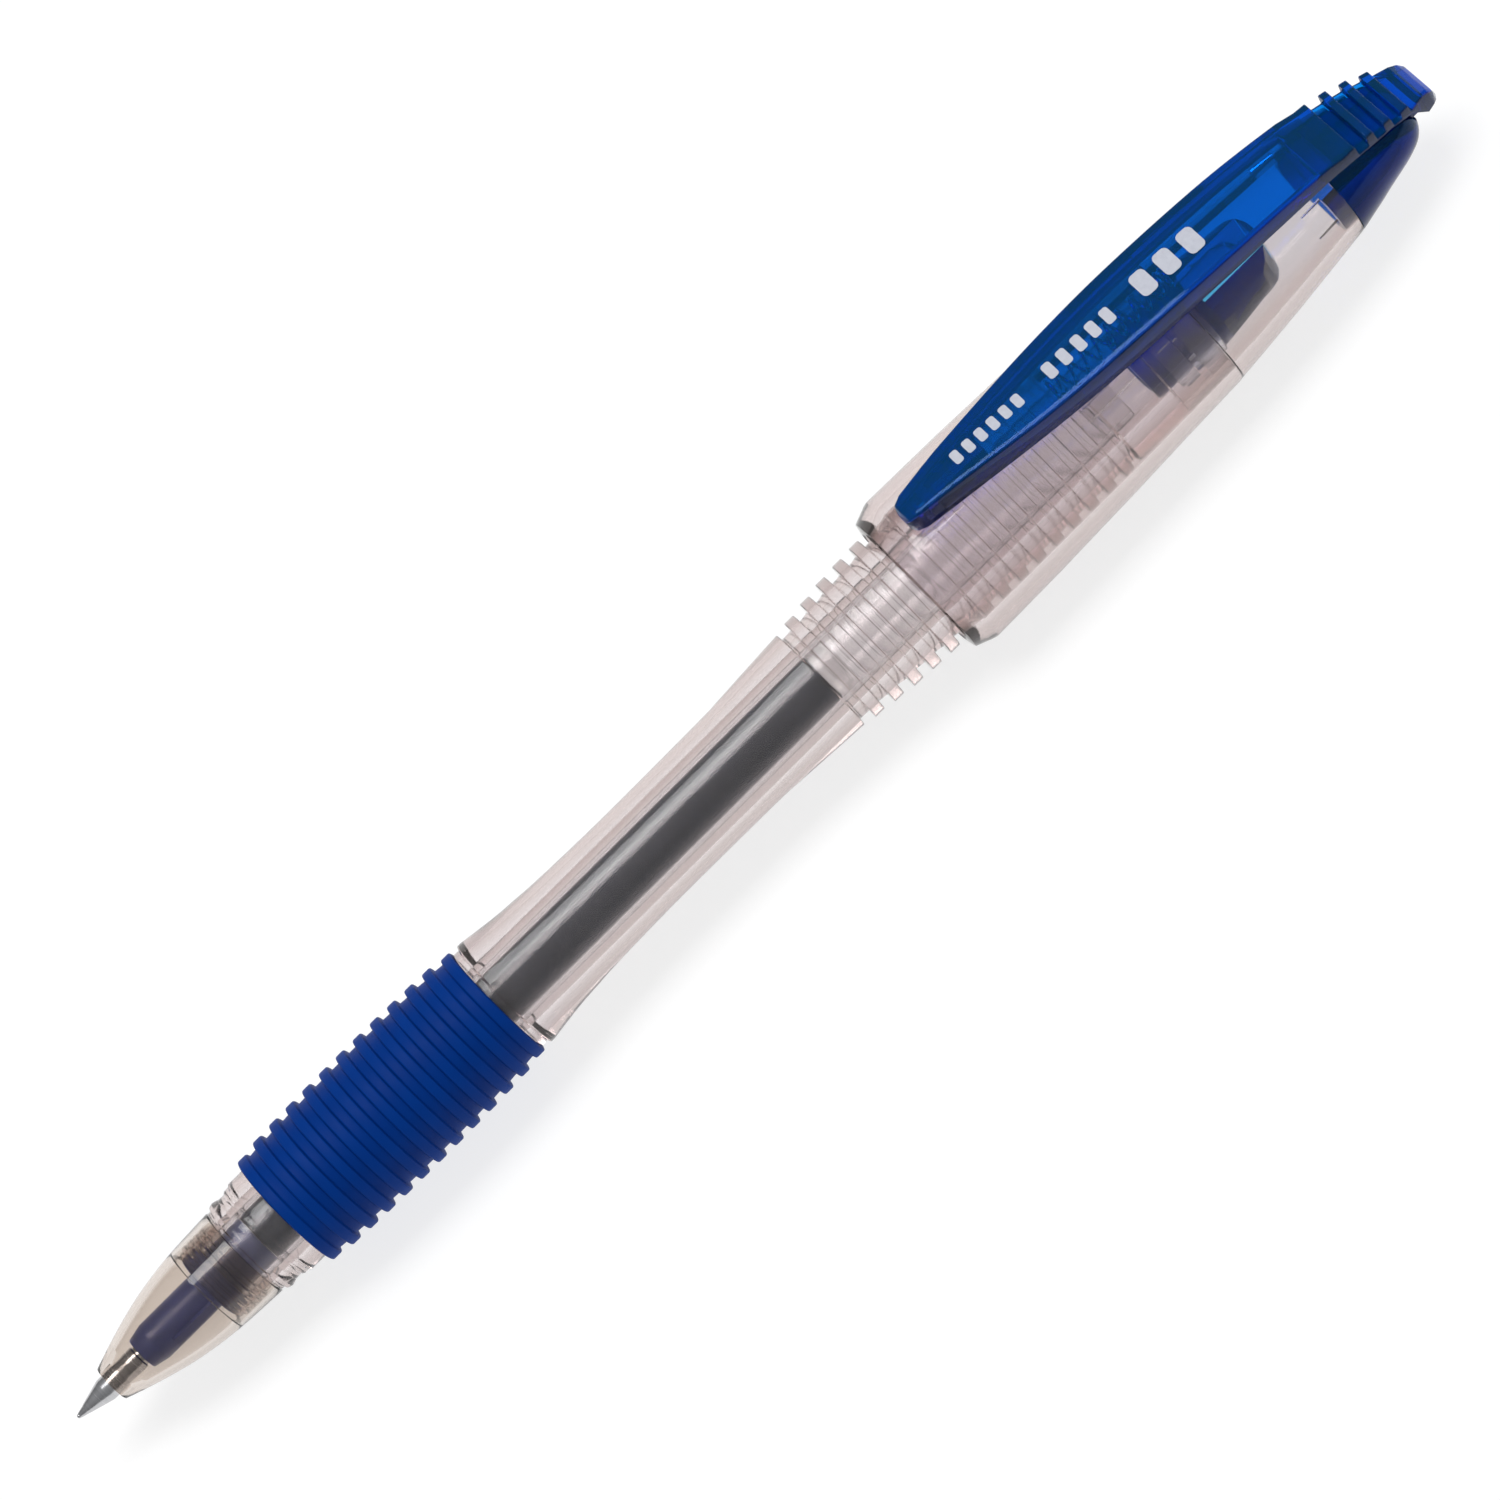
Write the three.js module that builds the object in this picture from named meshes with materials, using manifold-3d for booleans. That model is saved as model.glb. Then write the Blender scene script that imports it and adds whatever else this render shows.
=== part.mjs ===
// Retractable gel pen, as an assembly of separate pieces. Millimetres, +Z up.
// The pen lies along X with its writing tip towards -X and its clip up (+Z). Its outside is mirrored
// about the XZ plane. "Station" is the distance behind the apex of the writing tip; the origin is at
// the middle of the length, under the pen's lowest line. The tip is modelled out, ready to write;
// the clip slider and the refill slide 5.5 mm rearwards when the latch lets go.
import * as THREE from "three";
import { mergeVertices } from "three/addons/utils/BufferGeometryUtils.js";
import Module from "manifold-3d";

const wasm = await Module();
wasm.setup();

// ---------------------------------------------------------------- driving dimensions (mm)
const LENGTH = 145; // tip apex to the end of the thumb knob
const FACETS = 24; // sides of every round piece, with a flat facet facing straight down
const FINE_FACETS = 16; // sides of the pieces of the writing tip
const FIT = 0.05; // radial clearance of pieces pushed into one another

const NOSE = { front: 3.7, rear: 18.0, mouth: 1.15, seat: 3.68 };
const THREAD = { first: 15.0, pitch: 0.62, turns: 4, core: 3.4, crest: 3.6, land: 0.3 };
const GRIP = { front: 22.4, rear: 45.25, bore: 4.45, rings: 13, halfTop: 0.42, draft: 0.08 };
const RIB = { first: 81.6, pitch: 1.88, width: 0.96, draft: 0.03 };
const RIBS = { exposed: 5, hidden: 10, hiddenRadius: 5.5 };
const SKIRT = { front: 90.2, radius: 7.19, bore: 5.55 };
const JOINT_STATION = 119.2; // rear end of the lower barrel inside the upper barrel
const BARREL_END = 133.85; // rear end of the upper barrel, where the tail cap starts
const CAP = { front: 132.6, spigot: 3.92, bore: 3.2, end: 142.55 };
const SNAP = { front: 130.5, rear: 132.5, halfWidth: 1.1, floor: 3.05, reach: 4.45, angle: 53 };
const SLOT = { front: 107.6, halfWidth: 1.9, floor: 3.4 };
const REFILL = { radius: 2.62, bore: 2.2, front: 15.95, rear: 111.2, plugRear: 113.2 };
const INK = { radius: 2.15, front: 19.8, rear: 80.2, followerRear: 82.2 };
const HOLDER = { front: 7.05, radius: 1.7, shoulder: 14.15, shoulderRadius: 2.95, rear: 19.7 };
const HOLDER_RIB = { front: 9.7, rear: 14.0, width: 0.7, reach: 1.98, angle: 66 };
const VENT = 0.5; // bore of the tail plug
const REFILL_BORE = 3.2; // bore of the lower barrel around the refill
const CLIP_FRONT = 92.85;
const PLUNGER = { front: 113.4, rear: 120.3, radius: 3.1, bore: 2.2, floor: 119.6 };
const CLIP_NIB = { front: 94.9, rear: 100.9, halfWidth: 0.7, low: 7.42, top: 9.5 };
const CAM = { front: 115.2, bore: 3.2, radius: 4.0, chamber: 4.6, chamberFront: 114.4 };
const NECK = { front: 120.2, rear: 127.2, halfWidth: 1.6, top: 7.65 };
const HOLLOW = { roof: 1.0, wall: 0.8, front: 94.4, rear: 133.6 }; // under the clip's blade
const KEEL_HALF_WIDTH = 1.9;
const SPRING = { front: 107.75, rear: 120.05, radius: 0.86, wire: 0.26, turns: 9, height: 6.5 };
const BALL_RADIUS = 0.19; // a 0.38 mm writing ball

// Height of the pen's axis: the lowest facet of the skirt rests on Z = 0.
const AXIS_HEIGHT = SKIRT.radius;

// Half width and height that reach past the pen, for solids that only trim other ones.
const WIDE = 4;
const TALL = 12;

// ---------------------------------------------------------------- geometry helpers

// A closed body of revolution about the pen's axis. The outline is [station, radius] points, from
// the front along the outside; it either touches the axis at both ends or closes on itself. The
// facets lie at the outline's radius, so their shared edges stand slightly outside it.
function turned(outline, facets = FACETS) {
  const edge = 1 / Math.cos(Math.PI / facets);
  const points = outline.map(([station, radius]) => new THREE.Vector2(radius * edge, station));
  if (outline[0][1] > 0) {
    points.push(points[0].clone());
  }
  const lathe = new THREE.LatheGeometry(points, facets, Math.PI / facets);
  lathe.rotateZ(-Math.PI / 2);
  return lathe;
}

// A hollow turned piece: both outlines run from front to rear.
function sleeve(outside, bore, facets = FACETS) {
  return turned([...outside, ...[...bore].reverse()], facets);
}

function solid(geometry) {
  const bare = geometry.clone();
  bare.deleteAttribute("normal");
  bare.deleteAttribute("uv");
  const merged = mergeVertices(bare, 1e-5);
  const triangles = [];
  for (let i = 0; i < merged.index.count; i += 3) {
    const corner = [0, 1, 2].map((k) => merged.index.getX(i + k));
    if (new Set(corner).size === 3) {
      triangles.push(...corner);
    }
  }
  return new wasm.Manifold(
    new wasm.Mesh({
      numProp: 3,
      vertProperties: new Float32Array(merged.attributes.position.array),
      triVerts: new Uint32Array(triangles),
    }),
  );
}

function geometryOf(body) {
  const mesh = body.getMesh();
  const geometry = new THREE.BufferGeometry();
  geometry.setAttribute("position", new THREE.BufferAttribute(mesh.vertProperties, 3));
  geometry.setIndex(new THREE.BufferAttribute(mesh.triVerts, 1));
  geometry.computeVertexNormals();
  return geometry;
}

function shapeOf(outline) {
  return new THREE.Shape(outline.map(([a, b]) => new THREE.Vector2(a, b)));
}

// An outline in the XZ plane, made as thick as twice halfWidth about the plane of symmetry.
function sidePrism(outline, halfWidth) {
  const prism = new THREE.ExtrudeGeometry(shapeOf(outline), {
    depth: 2 * halfWidth,
    bevelEnabled: false,
  });
  prism.rotateX(Math.PI / 2);
  prism.translate(0, halfWidth, 0);
  return solid(prism);
}

// A half outline of [station, half width] points, mirrored about X and raised from low to high.
function planPrism(halfOutline, low, high) {
  const mirror = [...halfOutline].reverse().map(([station, width]) => [station, -width]);
  const prism = new THREE.ExtrudeGeometry(shapeOf([...halfOutline, ...mirror]), {
    depth: high - low,
    bevelEnabled: false,
  });
  prism.translate(0, 0, low);
  return solid(prism);
}

// A box between two stations, two half widths and two heights.
function block(front, rear, halfWidth, low, high) {
  return planPrism([[front, halfWidth], [rear, halfWidth]], low, high);
}

function smooth(points, divisions) {
  const curve = new THREE.SplineCurve(points.map(([a, b]) => new THREE.Vector2(a, b)));
  return curve.getPoints(divisions).map((point) => [point.x, point.y]);
}

class Helix extends THREE.Curve {
  constructor(front, rear, radius, turns) {
    super();
    Object.assign(this, { front, rear, radius, turns });
  }

  getPoint(t, target = new THREE.Vector3()) {
    const angle = 2 * Math.PI * this.turns * t;
    const station = THREE.MathUtils.lerp(this.front, this.rear, t);
    return target.set(station, this.radius * Math.cos(angle), this.radius * Math.sin(angle));
  }
}

function coil(front, rear, radius, wire, turns, stepsPerTurn, sides) {
  const section = [];
  for (let i = 0; i < sides; i += 1) {
    const angle = (2 * Math.PI * i) / sides;
    section.push([(wire / 2) * Math.cos(angle), (wire / 2) * Math.sin(angle)]);
  }
  return new THREE.ExtrudeGeometry(shapeOf(section), {
    steps: turns * stepsPerTurn,
    extrudePath: new Helix(front + wire / 2, rear - wire / 2, radius, turns),
    bevelEnabled: false,
  });
}

// One raised ring of a ribbed outline: four points, square-shouldered with a slight draft.
function ring(centre, radius, base, halfTop, draft) {
  return [
    [centre - halfTop - draft, base],
    [centre - halfTop, radius],
    [centre + halfTop, radius],
    [centre + halfTop + draft, base],
  ];
}

// ---------------------------------------------------------------- refill

function writingBall() {
  const ball = new THREE.SphereGeometry(BALL_RADIUS, 12, 8);
  ball.translate(BALL_RADIUS, 0, 0);
  return ball;
}

// Turned cone that holds the ball, a parallel neck, and a shank that sits in the holder.
function writingTip() {
  const outside = [
    [0.24, 0.23],
    [2.87, 0.96],
    [3.06, 1.0],
    [6.7, 1.0],
    [6.8, 0.86],
    [10.4, 0.86],
  ];
  const bore = [
    [0.24, 0.205],
    [0.46, 0.205],
    [0.5, 0.12],
    [1.3, 0.12],
    [1.5, 0.5],
    [10.4, 0.5],
  ];
  return sleeve(outside, bore, FINE_FACETS);
}

// Fine spring inside the writing tip that keeps the ball seated when the pen isn't writing.
function ballSpring() {
  return coil(1.75, 7.2, 0.33, 0.1, 8, 8, 5);
}

// Holds the writing tip in the tube: a slim front with two opposite ribs, a shoulder and a spigot.
function tipHolder() {
  const spigot = REFILL.bore - FIT;
  const socket = 0.92;
  const feed = 0.55;
  const outside = [
    [HOLDER.front, 1.4],
    [8.4, HOLDER.radius],
    [HOLDER.shoulder - 0.05, HOLDER.radius],
    [HOLDER.shoulder, HOLDER.shoulderRadius],
    [REFILL.front - FIT, HOLDER.shoulderRadius],
    [REFILL.front - FIT, spigot],
    [HOLDER.rear, spigot],
  ];
  const bore = [[HOLDER.front, socket], [10.6, socket], [10.65, feed], [HOLDER.rear, feed]];
  const ribAngle = THREE.MathUtils.degToRad(HOLDER_RIB.angle);
  const length = HOLDER_RIB.rear - HOLDER_RIB.front;
  let holder = solid(sleeve(outside, bore));
  for (const angle of [ribAngle, ribAngle + Math.PI]) {
    const rib = new THREE.BoxGeometry(length, HOLDER_RIB.width, 1.0);
    rib.translate(HOLDER_RIB.front + length / 2, 0, HOLDER_RIB.reach - 0.5);
    rib.rotateX(angle);
    holder = holder.add(solid(rib));
  }
  return geometryOf(holder);
}

function inkTube() {
  return sleeve(
    [[REFILL.front, REFILL.radius], [REFILL.rear, REFILL.radius]],
    [[REFILL.front, REFILL.bore], [REFILL.rear, REFILL.bore]],
  );
}

function plugOf(front, rear, radius) {
  return turned([[front, 0], [front, radius], [rear, radius], [rear, 0]]);
}

// Vented plug that closes the refill and takes the push of the plunger.
function tailPlug() {
  const outside = [
    [108.2, REFILL.bore - FIT],
    [REFILL.rear + FIT, REFILL.bore - FIT],
    [REFILL.rear + FIT, REFILL.radius],
    [REFILL.plugRear, REFILL.radius],
  ];
  return sleeve(outside, [[108.2, VENT], [REFILL.plugRear, VENT]]);
}

// ---------------------------------------------------------------- nose, barrel and grip

function noseCone() {
  const outside = smooth(
    [[NOSE.front, 1.59], [5.74, 2.28], [7.65, 2.85], [9.57, 3.33], [11.5, 3.67], [13.4, 3.9],
      [15.3, 4.02], [NOSE.rear, 4.14]],
    10,
  );
  const bore = [
    [NOSE.front, NOSE.mouth],
    [4.9, NOSE.mouth],
    [5.9, 1.72],
    [7.65, 2.2],
    [9.57, 2.66],
    [11.5, 3.0],
    [13.9, 3.25],
    [13.95, NOSE.seat],
    [NOSE.rear, NOSE.seat],
  ];
  return sleeve(outside, bore);
}

// External thread of the spigot, as level rings of the thread's own pitch.
function threadOutline() {
  const outline = [[14.3, THREAD.core - 0.1], [14.5, THREAD.core]];
  for (let turn = 0; turn < THREAD.turns; turn += 1) {
    const centre = THREAD.first + turn * THREAD.pitch;
    outline.push(...ring(centre, THREAD.crest, THREAD.core, THREAD.land / 2, 0.1));
  }
  outline.push([18.1, THREAD.core]);
  return outline;
}

function barrelFrontOutline() {
  return [
    [18.1, 4.05],
    [18.35, 4.05],
    [18.5, 4.33],
    [18.85, 4.42],
    [19.2, 4.33],
    [19.4, 4.24],
    [19.95, 4.24],
    [20.15, 4.41],
    [20.6, 4.42],
    [20.75, 4.57],
    [GRIP.front - FIT, 4.57],
    [GRIP.front - FIT, GRIP.bore - FIT],
    [GRIP.rear + FIT, GRIP.bore - FIT],
    [GRIP.rear + FIT, 4.84],
    [45.85, 4.84],
    [46.0, 5.14],
    [46.35, 5.14],
  ];
}

// The slim waist between the grip and the ribs.
function waistOutline() {
  const waist = smooth(
    [[47.8, 4.94], [49.7, 4.71], [51.7, 4.57], [53.6, 4.45], [57.4, 4.34], [61.2, 4.29],
      [66, 4.3], [71.0, 4.33]],
    9,
  );
  return [...waist, [72.4, 4.36], [76.5, 4.6], [80.1, 4.8], [80.2, 4.27]];
}

function ribOutline() {
  const exposedRadii = [5.01, 5.22, 5.43, 5.53, 5.6];
  const exposedBases = [4.3, 4.42, 4.59, 4.67, 4.82];
  const hiddenBase = 4.95;
  const outline = [];
  for (let i = 0; i < RIBS.exposed + RIBS.hidden; i += 1) {
    const hidden = i >= RIBS.exposed;
    const radius = hidden ? RIBS.hiddenRadius : exposedRadii[i];
    const base = hidden ? hiddenBase : exposedBases[i];
    outline.push(...ring(RIB.first + i * RIB.pitch, radius, base, RIB.width / 2, RIB.draft));
  }
  return outline;
}

function lowerBarrel() {
  const spigot = SKIRT.bore - 0.17;
  const outside = [
    ...threadOutline(),
    ...barrelFrontOutline(),
    ...waistOutline(),
    ...ribOutline(),
    [109.0, 4.95],
    [109.2, spigot],
    [JOINT_STATION, spigot],
  ];
  const bore = [
    [14.3, 3.15],
    [20.0, 3.15],
    [20.2, REFILL_BORE],
    [CAM.chamberFront, REFILL_BORE],
    [CAM.chamberFront, CAM.chamber],
    [JOINT_STATION, CAM.chamber],
  ];
  return sleeve(outside, bore);
}

// Soft sleeve with a fat middle and level rings, the two end rings serving as its flanges.
function gripSleeve() {
  const inset = GRIP.halfTop + GRIP.draft;
  const pitch = (GRIP.rear - GRIP.front - 2 * inset) / (GRIP.rings - 1);
  const outline = [];
  for (let i = 0; i < GRIP.rings; i += 1) {
    const swell = 1 - ((2 * i) / (GRIP.rings - 1) - 1) ** 2;
    const radius = 5.24 + 0.42 * Math.sqrt(swell);
    const valley = 4.9 + 0.27 * swell;
    const centre = GRIP.front + inset + i * pitch;
    outline.push(...ring(centre, radius, valley, GRIP.halfTop, GRIP.draft));
  }
  outline[0] = [GRIP.front, 5.05];
  outline[outline.length - 1] = [GRIP.rear, 5.05];
  return sleeve(outline, [[GRIP.front, GRIP.bore], [GRIP.rear, GRIP.bore]]);
}

// ---------------------------------------------------------------- upper barrel and tail cap

function upperBarrel() {
  const outside = [
    [SKIRT.front, 5.85],
    [SKIRT.front + 0.15, 6.55],
    [SKIRT.front + 1.5, SKIRT.radius - 0.12],
    [SKIRT.front + 1.9, SKIRT.radius],
    [99.5, 7.08],
    [103.3, 6.96],
    [107.1, 6.85],
    [112.9, 6.62],
    [119.0, 6.42],
    [119.25, 6.37],
    [122.4, 6.1],
    [126.3, 5.72],
    [130.1, 5.3],
    [BARREL_END, 4.86],
  ];
  const bore = [
    [SKIRT.front, SKIRT.bore + 0.1],
    [92.0, SKIRT.bore],
    [108.2, SKIRT.bore],
    [115.5, 5.45],
    [JOINT_STATION + 0.1, 5.44],
    [JOINT_STATION + 0.1, 5.15],
    [122.4, 4.95],
    [126.3, 4.62],
    [130.1, 4.28],
    [132.5, 4.02],
    [BARREL_END, 4.02],
  ];
  const channel = block(SLOT.front, BARREL_END + 1, SLOT.halfWidth, SLOT.floor, TALL);
  let barrel = solid(sleeve(outside, bore)).subtract(channel);
  for (const pocket of snapPockets()) {
    barrel = barrel.subtract(pocket);
  }
  return geometryOf(barrel);
}

// Pockets on either side inside the barrel, into which the tail cap snaps.
function snapPockets() {
  const angle = THREE.MathUtils.degToRad(SNAP.angle);
  const length = SNAP.rear - SNAP.front;
  return [-1, 1].map((side) => {
    const pocket = new THREE.BoxGeometry(length, 2 * SNAP.halfWidth, SNAP.reach - SNAP.floor);
    pocket.translate(SNAP.front + length / 2, 0, (SNAP.reach + SNAP.floor) / 2);
    pocket.rotateX(side * angle);
    return solid(pocket);
  });
}

function tailCap() {
  const outside = [
    [CAP.front, CAP.spigot],
    [BARREL_END + FIT, CAP.spigot],
    [BARREL_END + FIT, 4.86],
    [136.6, 4.29],
    [137.7, 4.02],
    [139.7, 3.59],
    [140.8, 3.27],
    [141.6, 2.93],
    [142.2, 2.45],
    [CAP.end, 1.95],
    [CAP.end, 0],
  ];
  const hollow = [
    [CAP.front, CAP.bore],
    [134.6, CAP.bore],
    [137.7, 3.05],
    [139.7, 2.62],
    [141.0, 2.1],
    [141.3, 1.5],
    [141.3, 0],
  ];
  const slot = [[CAP.front - 1, 2.6], [139, 2.5], [141, 2.35], [142.3, 2.2], [CAP.end + 1, 2.2]];
  const shell = solid(turned([[CAP.front, 0], ...outside]));
  const cavity = solid(turned([[CAP.front - 1, 0], [CAP.front - 1, CAP.bore], ...hollow]));
  return geometryOf(shell.subtract(cavity).subtract(planPrism(slot, 0.2, 8)));
}

// ---------------------------------------------------------------- clip slider and latch

// Upper line of the slider seen from the side: the blade, four thumb ridges and the knob.
function sliderTopLine() {
  const blade = smooth(
    [[93.9, 10.02], [96.5, 10.06], [98.9, 10.0], [105.3, 9.52], [110.4, 9.25], [115.6, 8.98],
      [121.3, 8.45], [127.1, 7.78], [131.2, 7.1], [134.2, 6.48]],
    14,
  );
  const ridges = [
    { front: 135.8, rear: 136.92, top: 5.85, fall: 0.1, valley: 4.35 },
    { front: 138.1, rear: 138.8, top: 5.38, fall: 0.15, valley: 3.78 },
    { front: 139.85, rear: 140.55, top: 4.64, fall: 0.18, valley: 3.05 },
    { front: 141.5, rear: 142.3, top: 3.66, fall: 0.22, valley: 2.45 },
  ];
  const line = [[CLIP_FRONT, 9.2], [CLIP_FRONT + 0.25, 9.8], ...blade];
  ridges.forEach(({ front, rear, top, fall, valley }, i) => {
    line.push([front, top], [rear, top - fall], [rear + 0.05, valley]);
    if (i < ridges.length - 1) {
      line.push([ridges[i + 1].front - 0.05, valley - 0.3]);
    }
  });
  line.push([143.75, 2.25], [144.4, 1.85], [144.8, 1.2], [LENGTH, 0.2], [LENGTH, -0.4]);
  return line;
}

// Lower line of the slider's side walls, which follows the barrel under it.
const SLIDER_LOWER_LINE = [
  [144.8, -0.55],
  [142.95, -0.55],
  [142.85, 1.45],
  [142.2, 1.9],
  [140.45, 2.9],
  [138.7, 3.45],
  [136.7, 4.1],
  [134.4, 4.72],
  [127.6, 5.6],
  [121.0, 6.2],
  [115.6, 6.56],
  [110.0, 6.82],
  [105.3, 7.08],
  [98.9, 7.36],
  [93.5, 7.5],
  [CLIP_FRONT, 7.9],
];

// Half widths of the slider seen from above: a leaf with a rounded front and a narrow knob.
function sliderPlan(inset = 0) {
  const leaf = smooth(
    [[93.9, 1.24], [98.9, 1.9], [105.3, 2.64], [110.5, 3.03], [115.6, 3.22], [121.3, 3.3],
      [127.1, 3.26], [132.8, 3.08], [136.7, 2.9], [140.45, 2.56], [142.2, 2.34], [143.6, 2.0]],
    14,
  );
  const tip = [[CLIP_FRONT, 0.55], [CLIP_FRONT + 0.35, 1.03]];
  const outline = [...tip, ...leaf, [144.7, 1.74], [LENGTH, 1.4]];
  return outline.map(([station, width]) => [station, width - inset]);
}

// The hollow under the blade leaves a thin roof and two side walls.
function sliderHollow() {
  const { roof, wall, front, rear } = HOLLOW;
  const inside = sliderTopLine().filter(([station]) => station > front && station < rear);
  const profile = inside.map(([station, height]) => [station, height - roof]);
  const first = profile[0];
  const last = profile[profile.length - 1];
  const outline = [[front, first[1]], ...profile, [rear, last[1] - 0.4], [rear, 0], [front, 0]];
  const inner = sliderPlan(wall).filter(([, width]) => width > 0.3);
  return sidePrism(outline, WIDE).intersect(planPrism(inner, -1, TALL));
}

// Neck through the barrel's slot, the shoe that slides inside the barrel, and the hollow plunger.
function sliderFoot() {
  const shoeHeight = 2.6;
  const plunger = solid(
    turned([
      [PLUNGER.floor, 0],
      [PLUNGER.floor, PLUNGER.bore],
      [PLUNGER.front, PLUNGER.bore],
      [PLUNGER.front, PLUNGER.radius - 0.2],
      [PLUNGER.front + 0.2, PLUNGER.radius],
      [PLUNGER.rear, PLUNGER.radius],
      [PLUNGER.rear, 0],
    ]),
  );
  const shoeBody = solid(
    turned([
      [120.05, 0],
      [120.05, 3.72],
      [124.6, 3.2],
      [127.7, 3.0],
      [127.7, 0],
    ]),
  );
  const shoePlan = planPrism(
    [[119, 3.2], [124.9, 3.0], [126.1, 2.6], [127.1, 1.7], [127.6, 0.6]],
    -2.3,
    shoeHeight,
  );
  const shoulder = solid(turned([[120.05, 0], [120.05, 3.72], [120.9, 3.6], [120.9, 0]]));
  const neck = block(NECK.front, NECK.rear, NECK.halfWidth, 0, NECK.top);
  return plunger.add(shoeBody.intersect(shoePlan)).add(shoulder).add(neck);
}

function clipSlider() {
  const outline = [...sliderTopLine(), ...SLIDER_LOWER_LINE];
  const blade = sidePrism(outline, WIDE).intersect(planPrism(sliderPlan(), -2, TALL));
  const keel = sidePrism(
    [[134.9, 5.4], [136, 4.9], [138, 3.95], [140, 3.3], [141, 2.8], [143.2, 1.9], [143.2, 0.6],
      [134.9, 0.6]],
    KEEL_HALF_WIDTH,
  );
  const { front, rear, halfWidth, low, top } = CLIP_NIB;
  const clipNib = block(front, rear, halfWidth, low, top);
  return geometryOf(blade.subtract(sliderHollow()).add(keel).add(clipNib).add(sliderFoot()));
}

function returnSpring() {
  const spring = coil(
    SPRING.front, SPRING.rear, SPRING.radius, SPRING.wire, SPRING.turns, 12, 6,
  );
  spring.translate(0, 0, SPRING.height);
  return spring;
}

// Lugs or teeth, evenly spaced around a ring.
function ringOfTeeth(count, front, rear, inner, outer, width, startAngle) {
  const teeth = [];
  for (let i = 0; i < count; i += 1) {
    const tooth = new THREE.BoxGeometry(rear - front, width, outer - inner);
    tooth.translate((front + rear) / 2, 0, (inner + outer) / 2);
    tooth.rotateX(startAngle + (2 * Math.PI * i) / count);
    teeth.push(solid(tooth));
  }
  return teeth;
}

function joined(base, additions) {
  return geometryOf(additions.reduce((sum, piece) => sum.add(piece), base));
}

// Turning ring of the latch, with four lugs.
function camRotor() {
  const rear = CAM.front + 1.6;
  const body = solid(
    sleeve([[CAM.front, 3.7], [rear, 3.7]], [[CAM.front, CAM.bore], [rear, CAM.bore]]),
  );
  const lugs = ringOfTeeth(4, CAM.front + 0.3, rear, 3.45, CAM.radius, 1.5, Math.PI / 4);
  return joined(body, lugs);
}

// Crown ring that pushes the rotor, between the rotor and the shoulder of the plunger.
function camCrown() {
  const front = CAM.front + 2.1;
  const rear = 119.95;
  const body = solid(
    sleeve(
      [[front, 3.7], [118.9, 3.7], [118.9, CAM.radius], [rear, CAM.radius]],
      [[front, CAM.bore], [rear, CAM.bore]],
    ),
  );
  return joined(body, ringOfTeeth(8, front - 0.4, front + 0.2, 3.28, 3.62, 0.9, 0));
}

// Fixed guide ring in the lower barrel, with a toothed front edge.
function camSleeve() {
  const front = CAM.front + 2.3;
  const rear = JOINT_STATION - 0.1;
  const inner = CAM.radius + FIT;
  const outer = CAM.chamber - FIT;
  const body = solid(sleeve([[front, outer], [rear, outer]], [[front, inner], [rear, inner]]));
  return joined(body, ringOfTeeth(8, front - 0.6, front + 0.2, 4.1, 4.45, 1.1, Math.PI / 8));
}

// ---------------------------------------------------------------- assembly

const FINISH = {
  steel: { color: 0xb9bbbe, roughness: 0.25, metalness: 1 },
  clear: { color: 0xd9d2cb, roughness: 0.12, metalness: 0, opacity: 0.35, transparent: true },
  frosted: { color: 0xd2c3bd, roughness: 0.4, metalness: 0, opacity: 0.55, transparent: true },
  navy: { color: 0x282d64, roughness: 0.35, metalness: 0 },
  blue: { color: 0x0046a8, roughness: 0.15, metalness: 0, opacity: 0.85, transparent: true },
  rubber: { color: 0x003a8c, roughness: 0.6, metalness: 0 },
  ink: { color: 0x2c3644, roughness: 0.3, metalness: 0 },
  gel: { color: 0xe6e0d8, roughness: 0.3, metalness: 0 },
};

const pen = new THREE.Group();
pen.position.set(-LENGTH / 2, 0, AXIS_HEIGHT);

function place(name, geometry, finish) {
  const mesh = new THREE.Mesh(geometry, new THREE.MeshStandardMaterial(FINISH[finish]));
  mesh.name = name;
  pen.add(mesh);
}

place("writing_ball", writingBall(), "steel");
place("writing_tip", writingTip(), "steel");
place("ball_spring", ballSpring(), "steel");
place("tip_holder", tipHolder(), "navy");
place("ink_tube", inkTube(), "clear");
place("ink_column", plugOf(INK.front, INK.rear, INK.radius), "ink");
place("ink_follower", plugOf(INK.rear + FIT, INK.followerRear, INK.radius), "gel");
place("tail_plug", tailPlug(), "gel");
place("nose_cone", noseCone(), "clear");
place("lower_barrel", lowerBarrel(), "frosted");
place("grip_sleeve", gripSleeve(), "rubber");
place("upper_barrel", upperBarrel(), "frosted");
place("tail_cap", tailCap(), "blue");
place("clip_slider", clipSlider(), "blue");
place("cam_rotor", camRotor(), "clear");
place("cam_crown", camCrown(), "clear");
place("cam_sleeve", camSleeve(), "clear");
place("return_spring", returnSpring(), "steel");

export default pen;
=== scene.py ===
import math

import bmesh
import bpy
from mathutils import Matrix, Vector


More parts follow.
